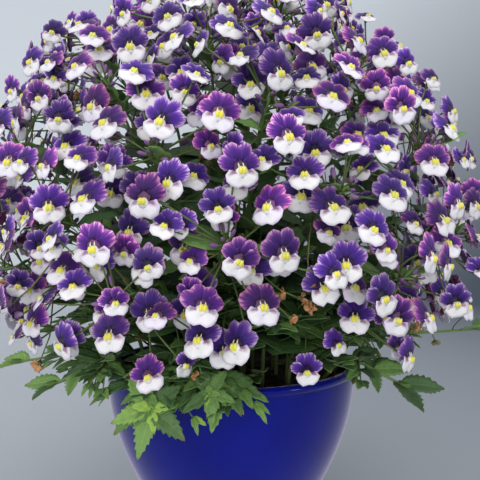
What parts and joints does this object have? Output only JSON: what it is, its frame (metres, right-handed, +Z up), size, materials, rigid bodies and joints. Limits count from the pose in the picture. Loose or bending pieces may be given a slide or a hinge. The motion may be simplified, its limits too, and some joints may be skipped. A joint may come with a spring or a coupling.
{
  "type": "potted nemesia",
  "caption": "Bushy flowering nemesia in a round glazed pot, with leafy shoots leaning over the rim, standing on a flat base.",
  "frame": {"origin": "middle of the pot's flat base", "axes": "+Z up along the pot's axis, -Y towards the plant's front, +X to the right seen from the front"},
  "size_m": [0.3383, 0.3258, 0.3617],
  "materials": {
    "glaze": "gloss",
    "soil": "rough",
    "flowers": "satin",
    "foliage": "satin"
  },
  "bodies": {
    "root": {"pot": "glaze", "soil": "soil", "flower_stem_01": "flowers", "flower_stem_02": "flowers", "flower_stem_03": "flowers", "flower_stem_04": "flowers", "flower_stem_05": "flowers", "flower_stem_06": "flowers", "flower_stem_07": "flowers", "flower_stem_08": "flowers", "flower_stem_09": "flowers", "flower_stem_10": "flowers", "flower_stem_11": "flowers", "flower_stem_12": "flowers", "flower_stem_13": "flowers", "flower_stem_14": "flowers", "flower_stem_15": "flowers", "flower_stem_16": "flowers", "flower_stem_17": "flowers", "flower_stem_18": "flowers", "flower_stem_19": "flowers", "flower_stem_20": "flowers", "flower_stem_21": "flowers", "flower_stem_22": "flowers", "flower_stem_23": "flowers", "flower_stem_24": "flowers", "flower_stem_25": "flowers", "flower_stem_26": "flowers", "flower_stem_27": "flowers", "flower_stem_28": "flowers", "flower_stem_29": "flowers", "flower_stem_30": "flowers", "flower_stem_31": "flowers", "flower_stem_32": "flowers", "flower_stem_33": "flowers", "flower_stem_34": "flowers", "flower_stem_35": "flowers", "flower_stem_36": "flowers", "flower_stem_37": "flowers", "flower_stem_38": "flowers", "flower_stem_39": "flowers", "flower_stem_40": "flowers", "flower_stem_41": "flowers", "flower_stem_42": "flowers", "leaf_shoot_01": "foliage", "leaf_shoot_02": "foliage", "leaf_shoot_03": "foliage", "leaf_shoot_04": "foliage", "leaf_shoot_05": "foliage", "leaf_shoot_06": "foliage", "leaf_shoot_07": "foliage", "leaf_shoot_08": "foliage", "leaf_shoot_09": "foliage", "leaf_shoot_10": "foliage", "leaf_shoot_11": "foliage", "leaf_shoot_12": "foliage"}
  },
  "joints": []
}
